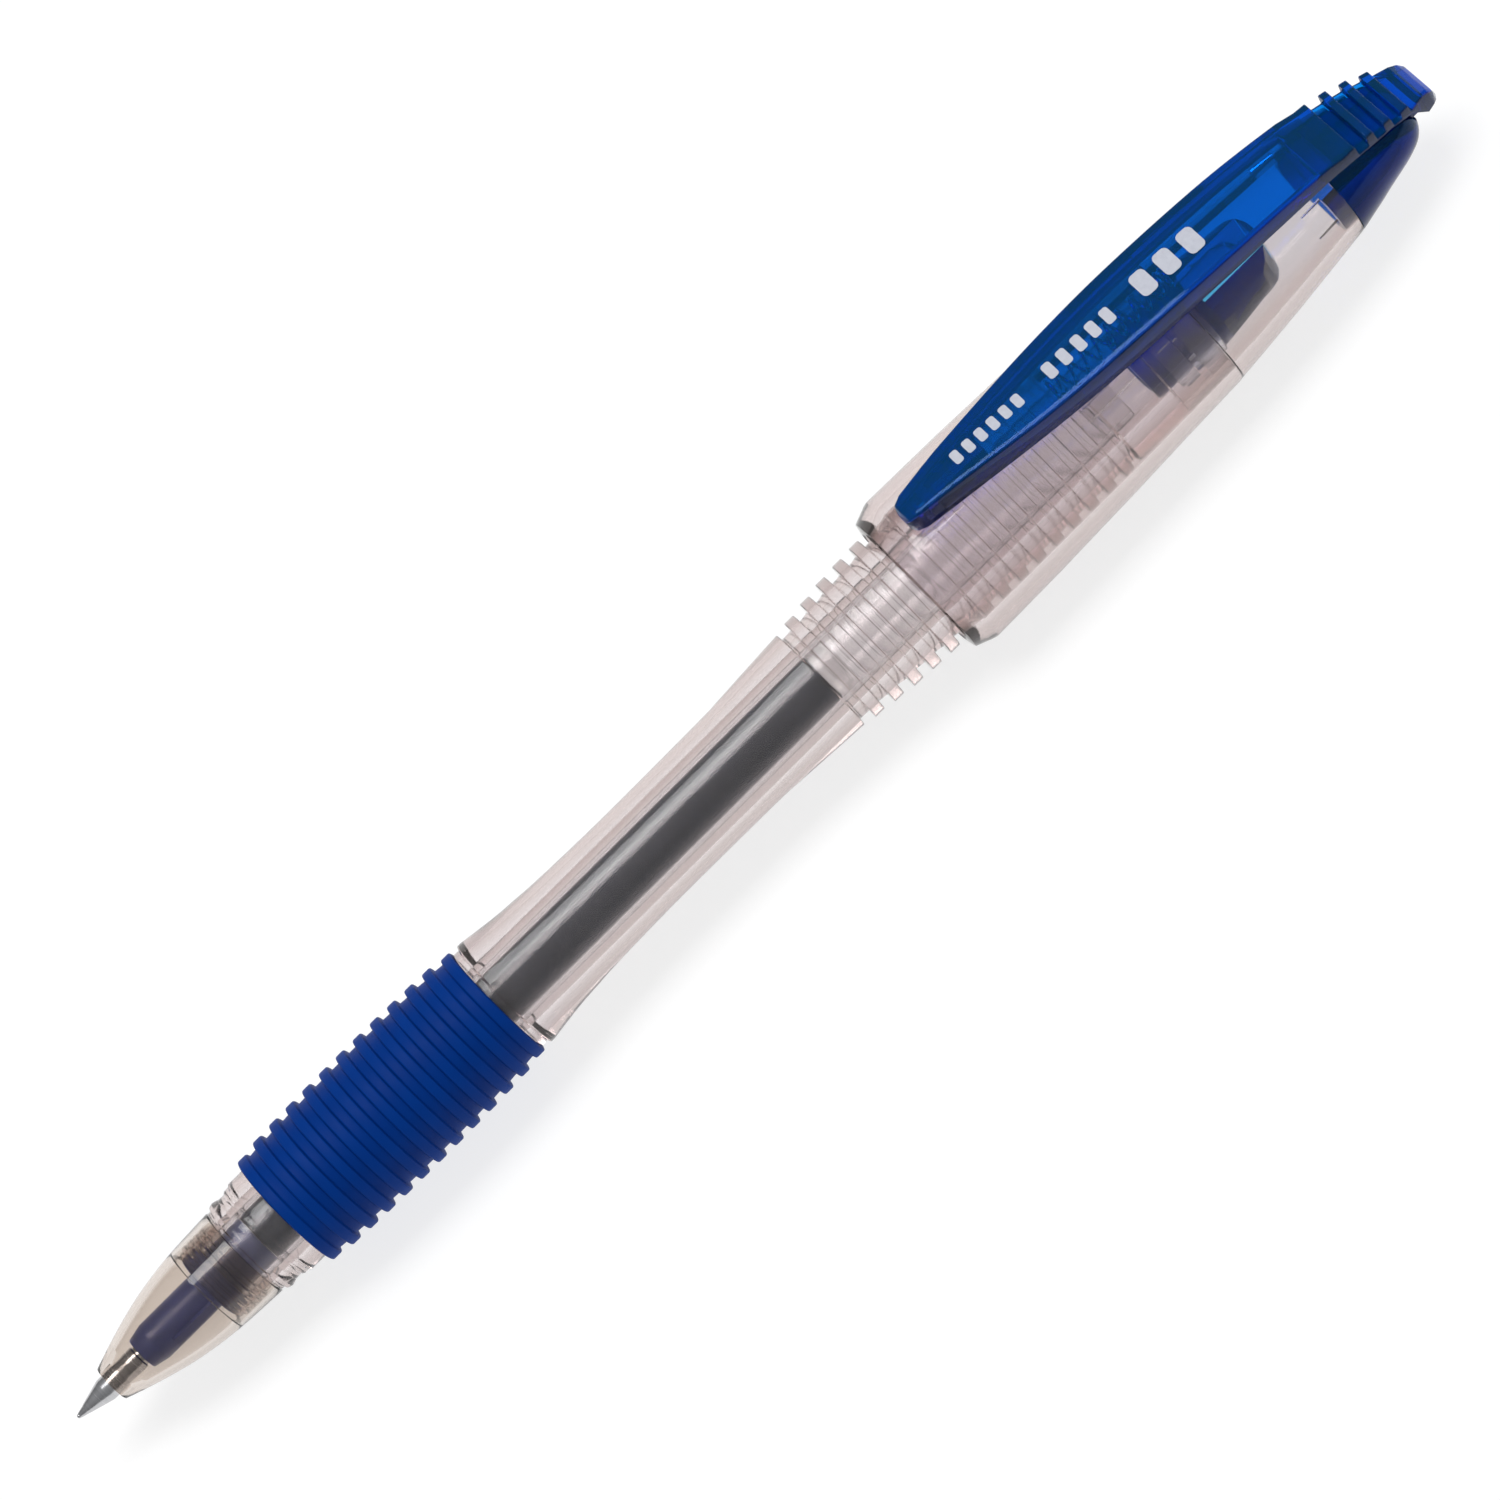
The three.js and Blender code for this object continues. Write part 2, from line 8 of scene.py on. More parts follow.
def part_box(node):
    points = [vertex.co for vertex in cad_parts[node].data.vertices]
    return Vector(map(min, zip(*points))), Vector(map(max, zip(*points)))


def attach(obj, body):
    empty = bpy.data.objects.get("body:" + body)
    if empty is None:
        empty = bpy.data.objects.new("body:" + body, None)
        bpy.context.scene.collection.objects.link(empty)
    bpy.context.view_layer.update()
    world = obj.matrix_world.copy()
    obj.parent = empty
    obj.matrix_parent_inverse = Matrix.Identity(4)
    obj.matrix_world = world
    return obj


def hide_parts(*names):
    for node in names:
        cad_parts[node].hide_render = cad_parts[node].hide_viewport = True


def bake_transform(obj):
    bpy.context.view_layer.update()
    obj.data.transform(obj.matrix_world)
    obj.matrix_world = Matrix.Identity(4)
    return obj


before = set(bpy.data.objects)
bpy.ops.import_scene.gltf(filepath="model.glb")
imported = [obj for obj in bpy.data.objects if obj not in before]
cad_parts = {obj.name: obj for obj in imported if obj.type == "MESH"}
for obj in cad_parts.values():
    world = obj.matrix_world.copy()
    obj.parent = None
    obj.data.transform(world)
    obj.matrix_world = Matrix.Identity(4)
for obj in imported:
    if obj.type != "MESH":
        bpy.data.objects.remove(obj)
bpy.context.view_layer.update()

# Stations are millimetres behind the apex of the writing tip, along the pen's axis (+X).
# Radii and heights are millimetres from the axis, and the clip is at +Z.
MM = 0.001
AXIS_Z = (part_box("lower_barrel")[0][2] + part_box("lower_barrel")[1][2]) / 2
TIP_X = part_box("writing_ball")[0][0]
LENGTH = 144.99  # a hair short, so that the knob stays inside the CAD box
FIT = 0.05  # clearance between two pieces
SURFACE_INSET = 0.003  # keeps the smooth blade inside the faceted one
CROWN = 0.02  # how much lower the blade's face lies along its edges than along its middle

SIDES = 128  # sides of a large turned piece
FINE_SIDES = 64  # sides of the small ones
CREASE = math.radians(35)  # an edge that folds more than this stays sharp
SOFT_TURN = math.radians(12)  # a corner that turns less than this needs no rounding
ARC_SHARE = 0.45  # the most of an edge that the arc at one of its ends takes up

# Refill: the ball, the holder with its shoulder, the tube, and the ink in it.
BALL_RADIUS = 0.19
HOLDER_FRONT = 7.05
HOLDER_REAR = 19.7
HOLDER_RADIUS = 1.7
SHOULDER = 14.15
SHOULDER_RADIUS = 2.95
TUBE_FRONT = 15.95
TUBE_REAR = 111.2
REFILL_RADIUS = 2.62
REFILL_BORE = 2.2
INK_FRONT = 19.8
INK_REAR = 80.2
INK_RADIUS = 2.15
FOLLOWER_REAR = 82.2
PLUG_FRONT = 108.2
PLUG_REAR = 113.2
VENT_RADIUS = 0.5

# Nose, and the thread on the lower barrel that it screws on to.
NOSE_FRONT = 3.7
NOSE_REAR = 18.0
NOSE_MOUTH = 1.15
NOSE_SEAT = 3.68
THREAD_FIRST = 15.0
THREAD_PITCH = 0.62
THREAD_TURNS = 4
THREAD_CORE = 3.4
THREAD_CREST = 3.6
THREAD_LAND = 0.3

# Grip sleeve.
GRIP_FRONT = 22.4
GRIP_REAR = 45.25
GRIP_BORE = 4.45
GRIP_RINGS = 13
GRIP_HALF_TOP = 0.42
GRIP_DRAFT = 0.08

# Ribs of the lower barrel, five in sight and ten under the skirt, and the barrel's rear end.
RIB_FIRST = 81.6
RIB_PITCH = 1.88
RIB_WIDTH = 0.96
HIDDEN_RIBS = 10
JOINT_STATION = 119.2

# Upper barrel, which starts as a wide skirt, and the cap that snaps into its rear end.
SKIRT_FRONT = 90.2
SKIRT_RADIUS = 7.19
SKIRT_BORE = 5.55
BARREL_END = 133.85
SNAP_FRONT = 130.5
SNAP_REAR = 132.5
SNAP_ANGLE = math.radians(53)
CAP_FRONT = 132.6
CAP_SPIGOT = 3.92
CAP_BORE = 3.2
CAP_END = 142.55

# Clip slider with its plunger, the latch rings round it, and the return spring.
CLIP_FRONT = 92.85
PLUNGER_FRONT = 113.4
PLUNGER_REAR = 120.3
PLUNGER_RADIUS = 3.1
PLUNGER_BORE = 2.2
PLUNGER_FLOOR = 119.6
SHOE_FRONT = 120.05
SHOE_RADIUS = 3.72
CAM_FRONT = 115.2
CAM_BORE = 3.2
CAM_WALL = 3.7
CAM_RADIUS = 4.0
CAM_CHAMBER = 4.6
SPRING_FRONT = 107.9
SPRING_REAR = 119.9
SPRING_HEIGHT = 6.5


def place(station, across, up):
    """A point in the row frame, in metres, from pen coordinates in millimetres."""
    return Vector((TIP_X + station * MM, across * MM, AXIS_Z + up * MM))


# ------------------------------------------------------------------ outlines

def fillet(points, radius, steps=3, closed=False):
    """The same outline with its corners rounded by arcs, as large as the edges beside them allow."""
    count = len(points)
    rounded = []
    for i, point in enumerate(points):
        if not closed and i in (0, count - 1):
            rounded.append(point)
            continue
        here = Vector(point)
        before = Vector(points[i - 1]) - here
        after = Vector(points[(i + 1) % count]) - here
        turn = math.pi - before.angle(after)
        if turn < SOFT_TURN:
            rounded.append(point)
            continue
        room = ARC_SHARE * min(before.length, after.length)
        reach = min(room, radius * math.tan(turn / 2))
        start = here + before.normalized() * reach
        end = here + after.normalized() * reach
        for k in range(steps + 1):
            t = k / steps
            blend = start.lerp(here, t).lerp(here.lerp(end, t), t)
            rounded.append(tuple(blend))
    return rounded


def spline(points, per_span=5):
    """A Catmull-Rom curve through the points."""
    ends = [2 * Vector(points[0]) - Vector(points[1])]
    knots = ends + [Vector(p) for p in points] + [2 * Vector(points[-1]) - Vector(points[-2])]
    curve = []
    for a, b, c, d in zip(knots, knots[1:], knots[2:], knots[3:]):
        for k in range(per_span):
            t = k / per_span
            curve.append(tuple(0.5 * (
                2 * b + (c - a) * t + (2 * a - 5 * b + 4 * c - d) * t * t
                + (3 * b - a - 3 * c + d) * t ** 3
            )))
    return curve + [tuple(points[-1])]


def at_station(line, station):
    """The value at a station of a line of (station, value) points."""
    for (s0, v0), (s1, v1) in zip(line, line[1:]):
        if s0 <= station <= s1:
            return v0 if s1 == s0 else v0 + (v1 - v0) * (station - s0) / (s1 - s0)
    return line[0][1] if station < line[0][0] else line[-1][1]


def ring(centre, radius, base, half_top, draft):
    """The outline of one raised ring, which flares by its draft towards its base."""
    return [
        (centre - half_top - draft, base),
        (centre - half_top, radius),
        (centre + half_top, radius),
        (centre + half_top + draft, base),
    ]


# ------------------------------------------------------------------ mesh building

def finish_mesh(bm, name):
    """Turns a bmesh into an object with smooth faces and sharp creases."""
    bmesh.ops.remove_doubles(bm, verts=bm.verts, dist=1e-8)
    bmesh.ops.recalc_face_normals(bm, faces=bm.faces)
    for face in bm.faces:
        face.smooth = True
    for edge in bm.edges:
        edge.smooth = len(edge.link_faces) == 2 and edge.calc_face_angle(0) < CREASE
    mesh = bpy.data.meshes.new(name)
    bm.to_mesh(mesh)
    bm.free()
    piece = bpy.data.objects.new(name, mesh)
    bpy.context.scene.collection.objects.link(piece)
    return piece


def turned_bmesh(outline, sides):
    """A body of revolution. The outline closes on itself, or has both its ends on the axis."""
    bm = bmesh.new()
    rings = []
    for station, radius in outline:
        if radius < 1e-6:
            rings.append([bm.verts.new(place(station, 0, 0))])
            continue
        circle = []
        for k in range(sides):
            angle = 2 * math.pi * k / sides
            spot = place(station, radius * math.sin(angle), radius * math.cos(angle))
            circle.append(bm.verts.new(spot))
        rings.append(circle)
    pairs = list(zip(rings, rings[1:]))
    if outline[0][1] > 0:
        pairs.append((rings[-1], rings[0]))
    for front, rear in pairs:
        join_rings(bm, front, rear)
    return bm


def join_rings(bm, front, rear):
    """Skins the gap between two loops of vertices. A loop of one vertex makes a fan."""
    count = max(len(front), len(rear))
    for k in range(count):
        after = (k + 1) % count
        corners = [front[k % len(front)], front[after % len(front)],
                   rear[after % len(rear)], rear[k % len(rear)]]
        unique = list(dict.fromkeys(corners))
        if len(unique) > 2:
            bm.faces.new(unique)


def turned(name, outside, bore=None, sides=SIDES, soften=0.05):
    """A turned piece with softened edges. Without a bore it is solid to the axis."""
    if bore is None:
        outline = [(outside[0][0], 0)] + list(outside) + [(outside[-1][0], 0)]
        return finish_mesh(turned_bmesh(fillet(outline, soften), sides), name)
    outline = fillet(list(outside) + list(reversed(bore)), soften, closed=True)
    return finish_mesh(turned_bmesh(outline, sides), name)


def block(front, rear, half_width, low, high, turn=0.0):
    """A box between two stations and two heights, turned about the pen's axis."""
    bm = bmesh.new()
    corners = bmesh.ops.create_cube(bm, size=1.0)["verts"]
    spin = Matrix.Rotation(turn, 3, "X")
    for corner in corners:
        spot = Vector((
            front if corner.co.x < 0 else rear,
            -half_width if corner.co.y < 0 else half_width,
            low if corner.co.z < 0 else high,
        ))
        corner.co = place(*(spin @ spot))
    return finish_mesh(bm, "cutter")


def prism(outline, low, high, upright=False):
    """An outline of (station, across) points between two heights. If upright, an outline of
    (station, height) points between two sides."""
    bm = bmesh.new()
    walls = []
    for level in (low, high):
        spots = [place(a, level, b) if upright else place(a, b, level) for a, b in outline]
        walls.append([bm.verts.new(spot) for spot in spots])
    join_rings(bm, walls[0], walls[1])
    bm.faces.new(walls[0])
    bm.faces.new(walls[1])
    return finish_mesh(bm, "cutter")


def mirrored(half_outline):
    """A closed plan outline from (station, half width) points."""
    return list(half_outline) + [(s, -w) for s, w in reversed(half_outline)]


def combine(piece, other, operation):
    """Applies a boolean of the other object to the piece, and removes the other."""
    step = piece.modifiers.new("combine", "BOOLEAN")
    step.object = other
    step.operation = operation
    step.solver = "EXACT"
    apply_modifiers(piece)
    bpy.data.objects.remove(other, do_unlink=True)


def apply_modifiers(piece):
    """Makes what the modifiers give the piece's own mesh."""
    graph = bpy.context.evaluated_depsgraph_get()
    mesh = bpy.data.meshes.new_from_object(piece.evaluated_get(graph))
    piece.modifiers.clear()
    piece.data = mesh


def sweep(name, points, radius, sides=12):
    """A closed round wire along a list of points in pen coordinates."""
    bm = bmesh.new()
    path = [place(*p) for p in points]
    rings = []
    up = Vector((0, 0, 1))
    for i, here in enumerate(path):
        along = (path[min(i + 1, len(path) - 1)] - path[max(i - 1, 0)]).normalized()
        side = along.cross(up).normalized()
        lift = side.cross(along)
        circle = []
        for k in range(sides):
            angle = 2 * math.pi * k / sides
            offset = side * math.cos(angle) + lift * math.sin(angle)
            circle.append(bm.verts.new(here + offset * radius * MM))
        rings.append(circle)
        up = lift
    for front, rear in zip(rings, rings[1:]):
        join_rings(bm, front, rear)
    bm.faces.new(rings[0])
    bm.faces.new(rings[-1])
    return finish_mesh(bm, name)


def helix(front, rear, radius, turns, height=0.0):
    """Points of a coil spring whose end turns are closed up."""
    end_turns, end_pitch, steps = 0.8, 0.02, 28
    total = turns + 2 * end_turns
    span = rear - front - 2 * end_turns * end_pitch
    points = []
    for i in range(int(total * steps) + 1):
        turn = i / steps
        inner = min(max(turn - end_turns, 0), turns) / turns
        closed = min(turn, end_turns) + max(turn - end_turns - turns, 0)
        station = front + closed * end_pitch + inner * span
        angle = 2 * math.pi * (turn - total / 2)
        points.append((station, radius * math.sin(angle), height + radius * math.cos(angle)))
    return points


# ------------------------------------------------------------------ materials

MIX_FIRST = 6  # a Mix node's colour inputs and output, by number because their names repeat
MIX_SECOND = 7
MIX_RESULT = 2


def remap(tree, fac, low, high, start=0.0, end=1.0):
    """Maps a factor that runs from start to end to a range of values."""
    spread = tree.nodes.new("ShaderNodeMapRange")
    for socket, value in zip(("From Min", "From Max", "To Min", "To Max"),
                             (start, end, low, high)):
        spread.inputs[socket].default_value = value
    tree.links.new(fac, spread.inputs["Value"])
    return spread.outputs["Result"]


class Paint:
    """A Principled material with helpers for the nodes that vary it."""

    def __init__(self, name, **sockets):
        self.material = bpy.data.materials.new(name)
        self.material.use_nodes = True
        self.tree = self.material.node_tree
        self.nodes = self.tree.nodes
        self.links = self.tree.links
        self.shader = self.nodes["Principled BSDF"]
        self.output = self.nodes["Material Output"]
        for socket, value in sockets.items():
            self.shader.inputs[socket.replace("_", " ")].default_value = value
        self.place = self.nodes.new("ShaderNodeTexCoord").outputs["Object"]

    def node(self, kind, **settings):
        """A new node with its sockets or settings filled in."""
        made = self.nodes.new(kind)
        for key, value in settings.items():
            if key in made.inputs:
                made.inputs[key].default_value = value
            else:
                setattr(made, key, value)
        return made

    def stretched(self, scale):
        """Object coordinates, stretched by a factor along each axis."""
        mapping = self.node("ShaderNodeMapping")
        mapping.inputs["Scale"].default_value = scale
        self.links.new(self.place, mapping.inputs["Vector"])
        return mapping.outputs["Vector"]

    def noise(self, scale, detail=4.0, stretch=(1, 1, 1)):
        texture = self.node("ShaderNodeTexNoise", Scale=scale, Detail=detail)
        self.links.new(self.stretched(stretch), texture.inputs["Vector"])
        return texture.outputs["Fac"]

    def side_face_shade(self):
        """How far the surface faces to the pen's left or right, from 0 to 1; it masks the painted
        shade on side faces.
        """
        normal = self.node("ShaderNodeTexCoord").outputs["Normal"]
        parts = self.node("ShaderNodeSeparateXYZ")
        self.links.new(normal, parts.inputs["Vector"])
        size = self.node("ShaderNodeMath", operation="ABSOLUTE")
        self.links.new(parts.outputs["Y"], size.inputs[0])
        return self.ramp(size.outputs["Value"], 0, 1, 0.55, 0.95)

    def outside(self, front, rear):
        """0 between two places along the pen, rising to 1 beyond either of them."""
        parts = self.node("ShaderNodeSeparateXYZ")
        self.links.new(self.place, parts.inputs["Vector"])
        ahead = self.ramp(parts.outputs["X"], 1, 0, front - MM, front)
        behind = self.ramp(parts.outputs["X"], 0, 1, rear, rear + MM)
        either = self.node("ShaderNodeMath", operation="ADD")
        self.links.new(ahead, either.inputs[0])
        self.links.new(behind, either.inputs[1])
        return either.outputs["Value"]

    def edge_on_tint_and_shade(self):
        """0 where a clear wall is seen square on, rising to 1 where it is seen nearly edge on. It
        masks the darker rim colour, partly the tint of the longer path through the wall and partly
        painted shade.
        """
        facing = self.node("ShaderNodeLayerWeight").outputs["Facing"]
        return self.ramp(facing, 0, 1, 0.12, 0.5)

    def ramp(self, fac, low, high, start=0.0, end=1.0):
        return remap(self.tree, fac, low, high, start, end)

    def mix(self, fac, first, second):
        """Mixes two colours, each a plain one or another node's output."""
        blend = self.node("ShaderNodeMix", data_type="RGBA")
        self.links.new(fac, blend.inputs["Factor"])
        for socket, value in ((MIX_FIRST, first), (MIX_SECOND, second)):
            if isinstance(value, tuple):
                blend.inputs[socket].default_value = (*value, 1)
            else:
                self.links.new(value, blend.inputs[socket])
        return blend.outputs[MIX_RESULT]

    def set(self, socket, output):
        self.links.new(output, self.shader.inputs[socket])

    def absorb(self, color, per_millimetre):
        """Tints what passes through the plastic by the depth it passes."""
        depth = self.node("ShaderNodeVolumeAbsorption", Color=(*color, 1),
                          Density=per_millimetre / MM)
        self.links.new(depth.outputs["Volume"], self.output.inputs["Volume"])

    def bump(self, height, distance, strength=1.0):
        relief = self.node("ShaderNodeBump", Strength=strength, Distance=distance)
        self.links.new(height, relief.inputs["Height"])
        self.set("Normal", relief.outputs["Normal"])


def clear_plastic():
    """Polished clear plastic with a warm tint and the faintest flow marks."""
    paint = Paint("clear_plastic", IOR=1.42, Transmission_Weight=1.0)
    flow = paint.noise(220, stretch=(0.35, 1, 1))
    paint.set("Base Color", paint.mix(flow, (0.77, 0.715, 0.67), (0.82, 0.765, 0.72)))
    paint.set("Roughness", paint.ramp(flow, 0.01, 0.04))
    paint.bump(paint.noise(500, 2), 0.000002, 0.2)
    paint.absorb((0.45, 0.25, 0.1), 0.08)
    return paint.material


def frosted_plastic():
    """Slightly milky plastic with a pinkish warm tint. Its rims, where a wall is seen nearly edge
    on, are darker: partly the tint of the longer path through the wall, partly painted shade. Where
    one barrel lies inside the other, each wall is tinted less."""
    paint = Paint("frosted_plastic", IOR=1.37, Transmission_Weight=0.97)
    cloud = paint.noise(160, stretch=(0.3, 1, 1))
    double = paint.mix(cloud, (0.935, 0.91, 0.922), (0.965, 0.94, 0.952))
    single = paint.mix(cloud, (0.89, 0.865, 0.87), (0.92, 0.895, 0.9))
    skirt_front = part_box("upper_barrel")[0][0]
    sleeve_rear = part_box("cam_sleeve")[1][0]
    wall = paint.mix(paint.outside(skirt_front, sleeve_rear), double, single)
    # Darker rims where a wall is seen edge on: partly the tint of the longer path through the wall,
    # partly painted shade.
    paint.set("Base Color", paint.mix(paint.edge_on_tint_and_shade(), wall, (0.73, 0.63, 0.6)))
    paint.set("Roughness", paint.ramp(paint.noise(900, 2), 0.04, 0.09))
    paint.bump(paint.noise(2600, 3), 0.000001, 0.2)
    paint.absorb((0.35, 0.05, 0.05), 0.03)
    return paint.material


def grip_rubber():
    """Satin blue elastomer with a fine moulded texture."""
    paint = Paint("grip_rubber", Roughness=0.5, Specular_IOR_Level=0.06)
    mottle = paint.noise(420, 5)
    paint.set("Base Color", paint.mix(mottle, (0.0, 0.031, 0.215), (0.0, 0.041, 0.27)))
    paint.set("Roughness", paint.ramp(paint.noise(1500, 3), 0.42, 0.62))
    paint.bump(paint.noise(6500, 2), 0.00001, 0.6)
    return paint.material


def blue_plastic():
    """Deep translucent blue plastic, glossy, that darkens with its thickness, with painted shade on
    its side faces.
    """
    paint = Paint("blue_plastic", IOR=1.38, Transmission_Weight=0.9)
    paint.shader.inputs["Specular Tint"].default_value = (0.3, 0.5, 1, 1)
    flow = paint.noise(120, stretch=(0.25, 1, 1))
    face = paint.mix(flow, (0.005, 0.36, 0.95), (0.01, 0.4, 1.0))
    # Painted shade: faces turned to the pen's left or right get a darker navy than the top face.
    paint.set("Base Color", paint.mix(paint.side_face_shade(), face, (0.01, 0.045, 0.23)))
    paint.set("Roughness", paint.ramp(paint.noise(700, 3), 0.03, 0.07))
    paint.bump(paint.noise(900, 2), 0.000002, 0.12)
    paint.absorb((0.0, 0.61, 0.88), 3.2)
    return paint.material


def navy_plastic():
    """Dark blue moulded plastic of the tip holder."""
    paint = Paint("navy_plastic", IOR=1.47, Specular_IOR_Level=0.8)
    flow = paint.noise(600, stretch=(0.3, 1, 1))
    paint.set("Base Color", paint.mix(flow, (0.075, 0.095, 0.29), (0.095, 0.115, 0.35)))
    paint.set("Roughness", paint.ramp(paint.noise(1800), 0.28, 0.42))
    return paint.material


def natural_plastic(name, first, second, transmission):
    """Uncoloured plastic of the refill and the latch rings."""
    paint = Paint(name, IOR=1.36, Transmission_Weight=transmission)
    paint.set("Base Color", paint.mix(paint.noise(260), first, second))
    paint.set("Roughness", paint.ramp(paint.noise(1400, 2), 0.05, 0.14))
    return paint.material


def gel_ink():
    """Dark blue-black gel that wets the tube."""
    paint = Paint("gel_ink", Specular_IOR_Level=0.2)
    swirl = paint.noise(140, 6, stretch=(0.4, 1, 1))
    paint.set("Base Color", paint.mix(swirl, (0.016, 0.023, 0.042), (0.028, 0.038, 0.064)))
    paint.set("Roughness", paint.ramp(swirl, 0.25, 0.45))
    return paint.material


def turned_steel():
    """Stainless steel with tool marks running round it."""
    paint = Paint("turned_steel", Metallic=1.0)
    marks = paint.noise(5200, 3, stretch=(1, 0.02, 0.02))
    paint.set("Base Color", paint.mix(marks, (0.42, 0.42, 0.43), (0.68, 0.68, 0.7)))
    paint.set("Roughness", paint.ramp(marks, 0.16, 0.34))
    paint.bump(marks, 0.000004, 0.5)
    return paint.material


def spring_wire():
    """Drawn steel wire."""
    paint = Paint("spring_wire", Metallic=1.0)
    grain = paint.noise(3000, 2)
    paint.set("Base Color", paint.mix(grain, (0.8, 0.8, 0.81), (0.9, 0.9, 0.91)))
    paint.set("Roughness", paint.ramp(grain, 0.2, 0.35))
    return paint.material


def white_print():
    """Pad-printed white ink, slightly uneven."""
    paint = Paint("white_print", Specular_IOR_Level=0.4)
    grain = paint.noise(2400, 4)
    paint.set("Base Color", paint.mix(grain, (0.52, 0.54, 0.62), (0.68, 0.7, 0.78)))
    paint.set("Roughness", paint.ramp(grain, 0.4, 0.6))
    return paint.material


def floor_paper():
    """Plain pale paper that glows a little, as on a lit table."""
    paint = Paint("floor_paper", Roughness=0.9, Specular_IOR_Level=0.1, Emission_Strength=0.78)
    paint.set("Base Color", paint.mix(paint.noise(40, 5), (0.27, 0.27, 0.27), (0.3, 0.3, 0.3)))
    paint.shader.inputs["Emission Color"].default_value = (1, 1, 1, 1)
    return paint.material


def hand_over(piece, node, body, material):
    """The piece stands for a CAD node, rides on its body and takes its material."""
    piece.data.materials.clear()
    piece.data.materials.append(material)
    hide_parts(node)
    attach(piece, body)


# ------------------------------------------------------------------ refill

def build_ball():
    bm = bmesh.new()
    bmesh.ops.create_icosphere(bm, subdivisions=4, radius=BALL_RADIUS * MM)
    bmesh.ops.translate(bm, vec=place(BALL_RADIUS, 0, 0), verts=bm.verts)
    return finish_mesh(bm, "pen_ball")


def build_tip():
    """The cone, its neck and the shank, bored from behind up to the ball's seat."""
    outside = [(0.24, 0.225), (0.9, 0.395), (0.95, 0.425), (2.87, 0.96), (3.06, 1.0), (6.7, 1.0),
               (6.8, 0.86), (10.4, 0.86)]
    bore = [(0.24, 0.205), (0.46, 0.205), (0.5, 0.12), (1.3, 0.12), (1.5, 0.5), (10.4, 0.5)]
    return turned("pen_tip", outside, bore, FINE_SIDES, soften=0.02)


def build_holder():
    """The holder, whose rear spigot fits in the tube, with two lengthwise ribs."""
    rear = TUBE_FRONT - FIT
    spigot = REFILL_BORE - FIT
    outside = [
        (HOLDER_FRONT, 1.4), (8.4, HOLDER_RADIUS), (SHOULDER - 0.05, HOLDER_RADIUS),
        (SHOULDER, SHOULDER_RADIUS), (rear, SHOULDER_RADIUS), (rear, spigot), (HOLDER_REAR, spigot),
    ]
    bore = [(HOLDER_FRONT, 0.92), (10.6, 0.92), (10.65, 0.55), (HOLDER_REAR, 0.55)]
    holder = turned("pen_tip_holder", outside, bore, soften=0.1)
    rib_front, rib_rear, rib_half_width, rib_low, rib_high = 9.7, SHOULDER + 0.1, 0.35, 0.98, 1.98
    for degrees in (66, 246):
        rib = block(rib_front, rib_rear, rib_half_width, rib_low, rib_high, math.radians(degrees))
        combine(holder, rib, "UNION")
    return crease_again(holder)


def build_tube():
    walls = [(TUBE_FRONT, REFILL_RADIUS), (TUBE_REAR, REFILL_RADIUS)]
    bore = [(TUBE_FRONT, REFILL_BORE), (TUBE_REAR, REFILL_BORE)]
    return turned("pen_ink_tube", walls, bore)


def build_filling(name, front, rear, soften):
    """What fills the tube between two stations."""
    return turned(name, [(front, INK_RADIUS), (rear, INK_RADIUS)], soften=soften)


def build_plug():
    """The vented plug, whose flange covers the tube's rear end."""
    spigot, flange = REFILL_BORE - FIT, TUBE_REAR + FIT
    outside = [(PLUG_FRONT, spigot), (flange, spigot), (flange, REFILL_RADIUS),
               (PLUG_REAR, REFILL_RADIUS)]
    vent = [(PLUG_FRONT, VENT_RADIUS), (PLUG_REAR, VENT_RADIUS)]
    return turned("pen_refill_plug", outside, vent, FINE_SIDES)


# ------------------------------------------------------------------ nose, barrel and grip

def build_nose():
    outside = spline([(NOSE_FRONT, 1.59), (5.74, 2.28), (7.65, 2.85), (9.57, 3.33), (11.5, 3.67),
                      (13.4, 3.9), (15.3, 4.02), (NOSE_REAR, 4.14)], 4)
    bore = [(NOSE_FRONT, NOSE_MOUTH), (4.9, NOSE_MOUTH)]
    bore += spline([(5.9, 1.72), (7.65, 2.2), (9.57, 2.66), (11.5, 3.0), (13.9, 3.25)], 4)
    bore += [(13.95, NOSE_SEAT), (NOSE_REAR, NOSE_SEAT)]
    return turned("pen_nose_cone", outside, bore, soften=0.06)


